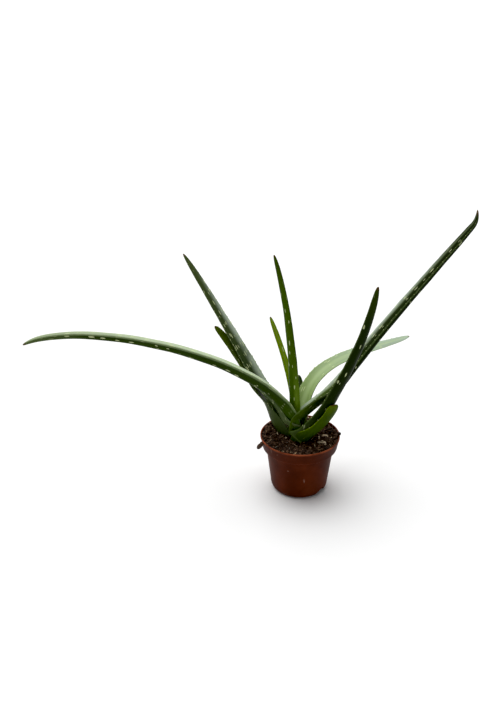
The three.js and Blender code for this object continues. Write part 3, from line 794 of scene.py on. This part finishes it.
# A crescent section carried along the middle line. At section angle a it reaches half cos(a) across,
# and stands out by thick times sin(a) to the power marginPower, with innerShare of that on the inner
# face and the rest on the back. The flat section is rolled on an arc: round the stem at the sheath,
# and a shallow channel in the blade. sink draws the margins in, by a share of the half width.
def sectionPoints(leaf, u, a, sink=0.0):
    point, along, face, opened, length = leafSpine(leaf, u)
    side = np.cross(face, along)
    claspRadius = math.hypot(*leaf["root"][:2]) + 1 + leaf["flare"] * np.minimum(u * length, leaf["sheath"])
    rounding = np.sqrt(np.clip(1 - u ** leafShape["tipSharpness"], 0, 1))
    blade = leaf["width"] / 2 * (1 - leaf["taper"] * u) * rounding
    half = between(claspRadius * math.radians(leaf["clasp"]), blade, opened)
    full = leaf["thickness"] * (1 - leafShape["thinning"] * u) * rounding
    thick = between(leafShape["sheathThickness"], full, opened)
    bend = between(1 / claspRadius, leaf["channel"] * (1 - u) + 1e-5, opened)
    half, thick, bend = half[..., None], thick[..., None], bend[..., None]
    run = (u * length)[..., None]
    wave = 1 + 0.018 * np.sin(run / 7.1 + leaf["width"]) + 0.012 * np.sin(run / 3.3 + leaf["thickness"])
    reach = half * np.cos(a) * wave * (1 - sink)
    sine = np.sin(a)
    share = np.where(sine > 0, leafShape["innerShare"], 1 - leafShape["innerShare"])
    stand = share * np.sign(sine) * np.abs(sine) ** leafShape["marginPower"]
    out = thick * (stand + 0.5 - leafShape["innerShare"])
    out = out * (1 + 0.03 * np.sin(run / 9.7 + 3 * np.cos(a)))
    angle = bend * reach
    across = (1 / bend - out) * np.sin(angle)
    rise = 1 / bend - (1 / bend - out) * np.cos(angle)
    places = point[..., None, :] + across[..., None] * side[..., None, :]
    places = places + rise[..., None] * face[..., None, :]
    return places, reach, run


# The front margin of a sheath follows the smoothed points (run, x, y, z) of its rail. The rest of the
# section follows by ((1 + cos(a)) / 2) to the power railPull, which is 0 at the other margin. The leaf
# lets go of the rail from the share railHold of the rail's run to its end.
def leafPoints(leaf, u, a, sink=0.0):
    places, reach, run = sectionPoints(leaf, u, a, sink)
    if leaf["rail"]:
        left = math.cos(math.radians(leaf["heading"])) < 0
        margin = sectionPoints(leaf, u, np.array([0.0 if left else math.pi]))[0]
        rail = np.array(leaf["rail"], float)
        near = run + leafShape["railSpread"] * np.linspace(-1, 1, 9)
        wanted = np.stack([np.interp(near, rail[:, 0], rail[:, k]).mean(-1) for k in (1, 2, 3)], -1)
        freed = (run / rail[-1, 0] - leafShape["railHold"]) / (1 - leafShape["railHold"])
        share = (0.5 + 0.5 * np.cos(a) * (1 if left else -1)) ** leafShape["railPull"]
        share = (1 - smoothStep(freed)) * share
        places = places + share[..., None] * (wanted[:, None] - margin)
    return places + crown, reach


# Small hooked teeth down both margins: an oval foot of 6 points sunk in the margin, and one point.
def leafTeeth(leaf, seed, first):
    dice = np.random.default_rng(seed)
    length = leafSpine(leaf, np.array([0.0]))[4]
    parts, faces = [], []
    for a in (0.0, math.pi):
        places = np.arange(leaf["sheath"] * 0.7, length * 0.97, leafShape["toothSpacing"])
        u = (places + dice.uniform(-1.5, 1.5, len(places))) / length
        margin = leafPoints(leaf, u, np.array([a]))[0][:, 0]
        inner = leafPoints(leaf, u, np.array([a]), 0.06)[0][:, 0]
        out = unit(margin - inner)
        along, face = leafSpine(leaf, u)[1:3]
        size = leafShape["toothHeight"] * (1.1 - 0.55 * u) * dice.uniform(0.75, 1.2, len(u))
        size = (size * leaf["width"] / 25)[:, None]
        turn = np.arange(6) * math.pi / 3
        foot = along[:, None] * np.cos(turn)[:, None] * 1.5 + face[:, None] * np.sin(turn)[:, None] * 0.6
        foot = foot * size[:, None] + (margin - out * 0.35 * size)[:, None]
        top = margin + out * size + along * size * 0.7
        tooth = np.concatenate([foot, top[:, None], (margin - out * size * 0.8)[:, None]], 1)
        start = first + sum(len(p) for p in parts) + (np.arange(len(u)) * 8)[:, None, None]
        flip = slice(None, None, 1 if a == 0 else -1)
        cone = np.concatenate([capTriangles(0, 6, 6, False), capTriangles(0, 6, 7, True)])[:, flip]
        faces.append((cone[None] + start).reshape(-1, 3))
        parts.append(tooth.reshape(-1, 3))
    return np.concatenate(parts), np.concatenate(faces)


# Rings of section points from the base to the tip, closer together at both ends, as a mix of even
# steps and the cosine's, with one point at the tip. The layers say where on the leaf a point is.
def makeLeaf(node, leaf, seed):
    rings, sides = leafShape["rings"], leafShape["sides"]
    even = np.arange(rings) / rings
    u = between(even, (1 - np.cos(math.pi * even)) / 2, 0.35)
    a = np.arange(sides) * 2 * math.pi / sides
    body, reach = leafPoints(leaf, u, a)
    tip = leafPoints(leaf, np.array([1.0]), np.array([0.0]))[0].reshape(1, 3)
    length = leafSpine(leaf, u[:1])[4]
    points = np.concatenate([body.reshape(-1, 3), tip])
    count = rings * sides
    # The cut base is closed by a strip between its inner and outer faces.
    k = np.arange(sides // 2)
    strip = np.stack([k, (sides - k) % sides, sides - k - 1, k + 1], -1)
    faces = [
        skinQuads(rings, sides),
        capTriangles(count - sides, sides, count, False),
        strip[1:-1], strip[:1, [0, 2, 3]], strip[-1:, [0, 1, 3]],
    ]
    teeth, toothFaces = leafTeeth(leaf, seed, len(points))
    faces.append(toothFaces)
    points = np.concatenate([points, teeth])
    grid = np.ones((rings, sides))
    one = np.ones(len(teeth))
    flat = {
        "alongLeaf": np.concatenate([(u[:, None] * grid).ravel(), [1], 0.5 * one]),
        "acrossLeaf": np.concatenate([(np.cos(a) * grid).ravel(), [0], one]),
        "innerFace": np.concatenate([(np.sin(a) * grid).ravel(), [0], 0 * one]),
        "tooth": np.concatenate([0 * grid.ravel(), [0], one]),
    }
    flatMap = np.stack([
        np.concatenate([reach.ravel(), [0], 0 * one]),
        np.concatenate([(u[:, None] * length * grid).ravel(), [length], 0 * one]),
    ], -1) * mm
    piece = makePiece(leaf["name"], points * mm, faces, [node], flat, flatMap)
    piece.data.materials.append(leafMaterial(leaf, seed))


# The streak colour is partly a painted highlight, and the bloom colour partly a painted reflection.
leafPaint = {
    "streakAndHighlight": (188, 208, 150), "bloomAndReflection": (186, 200, 180), "spot": (222, 232, 176),
    "shade": (168, 176, 150), "rust": (124, 66, 22), "dry": (96, 66, 38), "tooth": (178, 186, 130),
}


# Green that changes from sheath to tip, with a pale streak down the inner face that is partly a painted
# highlight, a waxy bloom that is partly a painted reflection, long whitish spots in loose rows, a pale
# margin, rust where the leaf has it, and a dry tip.
def leafMaterial(leaf, seed):
    material, tree, shader = newMaterial(leaf["name"] + "Skin", Roughness=0.4, Specular_IOR_Level=0.035)
    shader.inputs["Subsurface Weight"].default_value = 0.06
    shader.inputs["Subsurface Radius"].default_value = (0.004, 0.006, 0.002)
    shader.inputs["Subsurface Scale"].default_value = 1.0
    flat = addNode(tree, "UVMap", {}, uv_map="flatMap").outputs[0]
    u, v, inner = (layerValue(tree, layer) for layer in ("alongLeaf", "acrossLeaf", "innerFace"))
    place = objectPlace(tree)
    front = softRange(tree, inner, -0.25, 0.25)
    cloud = grain(tree, place, 38, 3, 0.5, shift=(seed * 0.07, 0, 0))
    moved = calc(tree, "ADD", u, times(tree, calc(tree, "SUBTRACT", cloud, 0.5), 0.18))
    stops = [(0.03, leaf["base"]), (0.3, leaf["middle"]), (0.95, leaf["end"])]
    colour = paintRamp(tree, moved, stops)
    backStops = [(0.03, leaf["base"]), (0.22, leaf["back"]), (0.78, leaf["back"]),
                 (1.0, between(np.array(leaf["back"]), np.array(leaf["end"]), 0.5))]
    colour = mixPaint(tree, front, paintRamp(tree, moved, backStops), colour)
    # Fine fibres along the leaf, and softer bands beside them.
    fibre = grain(tree, flat, 1, 4, 0.6, (1500, 45, 1), (seed, 0, 0))
    band = grain(tree, flat, 1, 2, 0.5, (260, 9, 1), (seed * 3, 0, 0))
    darker = calc(tree, "ADD", times(tree, fibre, 0.5), times(tree, band, 0.5))
    shade = softRange(tree, darker, 0.3, 0.7)
    shaded = mixPaint(tree, 1.0, colour, leafPaint["shade"], "MULTIPLY")
    colour = mixPaint(tree, times(tree, shade, 0.35), colour, shaded)
    offMiddle = calc(tree, "ABSOLUTE", v)
    # Partly a painted highlight: a pale streak down the middle of the inner face, along the channel.
    streakAndHighlight = times(tree, oneLess(tree, softRange(tree, offMiddle, 0.05, 0.5)), front, leaf["streakAndHighlight"])
    colour = mixPaint(tree, streakAndHighlight, colour, leafPaint["streakAndHighlight"])
    # Partly a painted reflection: grey-green bloom, on one side only where the leaf says so, fading to the
    # tip.
    waxAndReflection = times(tree, softRange(tree, grain(tree, place, 22, 4, 0.6), 0.05, 0.5), leaf["bloomAndReflection"])
    if leaf["reflectingSide"]:
        toSide = times(tree, v, leaf["reflectingSide"])
        waxAndReflection = times(tree, waxAndReflection, softRange(tree, toSide, -0.35, 0.85))
    fades = oneLess(tree, softRange(tree, u, 0.62, 0.95))
    waxAndReflection = times(tree, waxAndReflection, softRange(tree, inner, -0.9, 0.4), fades)
    colour = mixPaint(tree, waxAndReflection, colour, leafPaint["bloomAndReflection"])
    spots = leafSpots(tree, flat, front, u, leaf["spots"], seed)
    colour = mixPaint(tree, spots, colour, leafPaint["spot"])
    margin = times(tree, softRange(tree, offMiddle, 1 - leaf["rim"], 1 - leaf["rim"] * 0.15), 0.55)
    if leaf["rim"] > 0.1:  # a wide margin is only near the base
        margin = times(tree, margin, oneLess(tree, softRange(tree, u, 0.12, 0.5)))
    colour = mixPaint(tree, margin, colour, leaf["edge"])
    if leaf["rust"]:
        rusty = softRange(tree, grain(tree, place, 150, 3, 0.6), 0.6, 0.7)
        colour = mixPaint(tree, times(tree, rusty, leaf["rust"]), colour, leafPaint["rust"])
    colour = mixPaint(tree, layerValue(tree, "tooth"), colour, leafPaint["tooth"])
    tipEdge = calc(tree, "ADD", u, times(tree, calc(tree, "SUBTRACT", cloud, 0.5), 0.02))
    dry = times(tree, softRange(tree, tipEdge, 0.978, 0.996), 0.85)
    colour = mixPaint(tree, dry, colour, leafPaint["dry"])
    tree.links.new(colour, shader.inputs["Base Color"])
    rough = calc(tree, "MULTIPLY_ADD", cloud, 0.25, 0.26 + 0.12 * leaf["bloomAndReflection"])
    tree.links.new(rough, shader.inputs["Roughness"])
    height = calc(tree, "ADD", times(tree, fibre, 0.35), band)
    bumpFrom(tree, shader, height, 0.0006, 0.5)
    return material


# Cells 16 mm long and 2.5 mm wide, each with a long spot round its middle, and only some cells kept.
# The spots fade out towards the base and the tip.
def leafSpots(tree, flat, front, u, amount, seed):
    shifted = times(tree, front, 7.3)
    offset = addNode(tree, "CombineXYZ", {0: shifted, 1: seed * 3.7}).outputs[0]
    scaled = addNode(tree, "VectorMath", {0: flat, 1: (400, 64, 1)}, operation="MULTIPLY").outputs[0]
    moved = addNode(tree, "VectorMath", {0: scaled, 1: offset}, operation="ADD").outputs[0]
    cells = addNode(tree, "TexVoronoi", {"Vector": moved, "Scale": 1.0, "Randomness": 0.85},
                    voronoi_dimensions="2D")
    size = addNode(tree, "SeparateColor", {0: cells.outputs["Color"]})
    big = calc(tree, "MULTIPLY_ADD", size.outputs[0], 0.17, 0.09)
    away = calc(tree, "DIVIDE", cells.outputs["Distance"], big)
    spot = oneLess(tree, softRange(tree, away, 0.7, 1.15))
    kept = calc(tree, "GREATER_THAN", size.outputs[1], 1 - 0.62 * amount)
    fades = oneLess(tree, softRange(tree, u, 0.8, 1.0))
    return times(tree, spot, kept, fades, softRange(tree, u, 0.06, 0.3), 0.8)


for index, (node, leaf) in enumerate(leaves.items()):
    makeLeaf(node, leaf, 60 + index)
    print("leaf made:", leaf["name"])


# Dull green with grain drawn out upwards.
def stemMaterial():
    material, tree, shader = newMaterial("stemSkin", Roughness=0.6)
    place = objectPlace(tree)
    value = grain(tree, place, 300, 4, 0.6, (1, 1, 0.3))
    stops = [(0.35, (96, 104, 52)), (0.65, (140, 148, 84))]
    tree.links.new(paintRamp(tree, value, stops), shader.inputs["Base Color"])
    bumpFrom(tree, shader, value, 0.0005, 0.6)
    return material


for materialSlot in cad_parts["stem"].material_slots:
    materialSlot.material = stemMaterial()
print("stem finished")


studio = {
    "floorColour": (250, 250, 250), "floorGives": (206, 206, 206), "floorSize": 40, "surround": 0.27,
    "keyTurn": (-20, -12, 0), "keyPower": 3.1, "keySoftness": 75, "blackLevel": 0.004,
    "lens": 50, "sensorWidth": 36, "cameraPlace": (-0.0660, -1.1177, 0.7446), "lookDown": 26.15,
}


# The floor is pale to the camera and gives less light than that back to the plant's underside.
def makeFloor():
    half = studio["floorSize"] / 2
    corners = [(-half, -half, 0), (half, -half, 0), (half, half, 0), (-half, half, 0)]
    mesh = bpy.data.meshes.new("studioFloor")
    mesh.from_pydata(corners, [], [(0, 1, 2, 3)])
    floor = bpy.data.objects.new("studioFloor", mesh)
    bpy.context.scene.collection.objects.link(floor)
    material, tree, shader = newMaterial("palePaper", Roughness=0.95, Specular_IOR_Level=0.0)
    seen = addNode(tree, "LightPath", {}).outputs["Is Camera Ray"]
    colour = mixPaint(tree, seen, studio["floorGives"], studio["floorColour"])
    tree.links.new(colour, shader.inputs["Base Color"])
    mesh.materials.append(material)


# A pale surround. Seen directly it is white, so that the floor runs into it.
def makeSurround():
    world = bpy.data.worlds.new("studioSurround")
    world.use_nodes = True
    bpy.context.scene.world = world
    tree = world.node_tree
    background = tree.nodes["Background"]
    background.inputs["Color"].default_value = (1, 1, 1, 1)
    seen = addNode(tree, "LightPath", {}).outputs["Is Camera Ray"]
    strength = addNode(tree, "MapRange", {"Value": seen, "To Min": studio["surround"], "To Max": 1.0})
    tree.links.new(strength.outputs[0], background.inputs["Strength"])


# One wide soft sun, above, from a little behind and to the left.
def makeLights():
    sun = bpy.data.lights.new("softKey", "SUN")
    sun.energy = studio["keyPower"]
    sun.angle = math.radians(studio["keySoftness"])
    key = bpy.data.objects.new("softKey", sun)
    key.rotation_euler = [math.radians(turn) for turn in studio["keyTurn"]]
    bpy.context.scene.collection.objects.link(key)


def makeCamera():
    lens = bpy.data.cameras.new("camera")
    lens.lens = studio["lens"]
    lens.sensor_width = studio["sensorWidth"]
    camera = bpy.data.objects.new("camera", lens)
    camera.location = studio["cameraPlace"]
    camera.rotation_euler = (math.radians(90 - studio["lookDown"]), 0, 0)
    bpy.context.scene.collection.objects.link(camera)
    bpy.context.scene.camera = camera


makeFloor()
makeSurround()
makeLights()
makeCamera()
tone = bpy.context.scene.view_settings
tone.view_transform = "Standard"
tone.use_curve_mapping = True
tone.curve_mapping.black_level = [studio["blackLevel"]] * 3
tone.curve_mapping.update()
print("studio made")
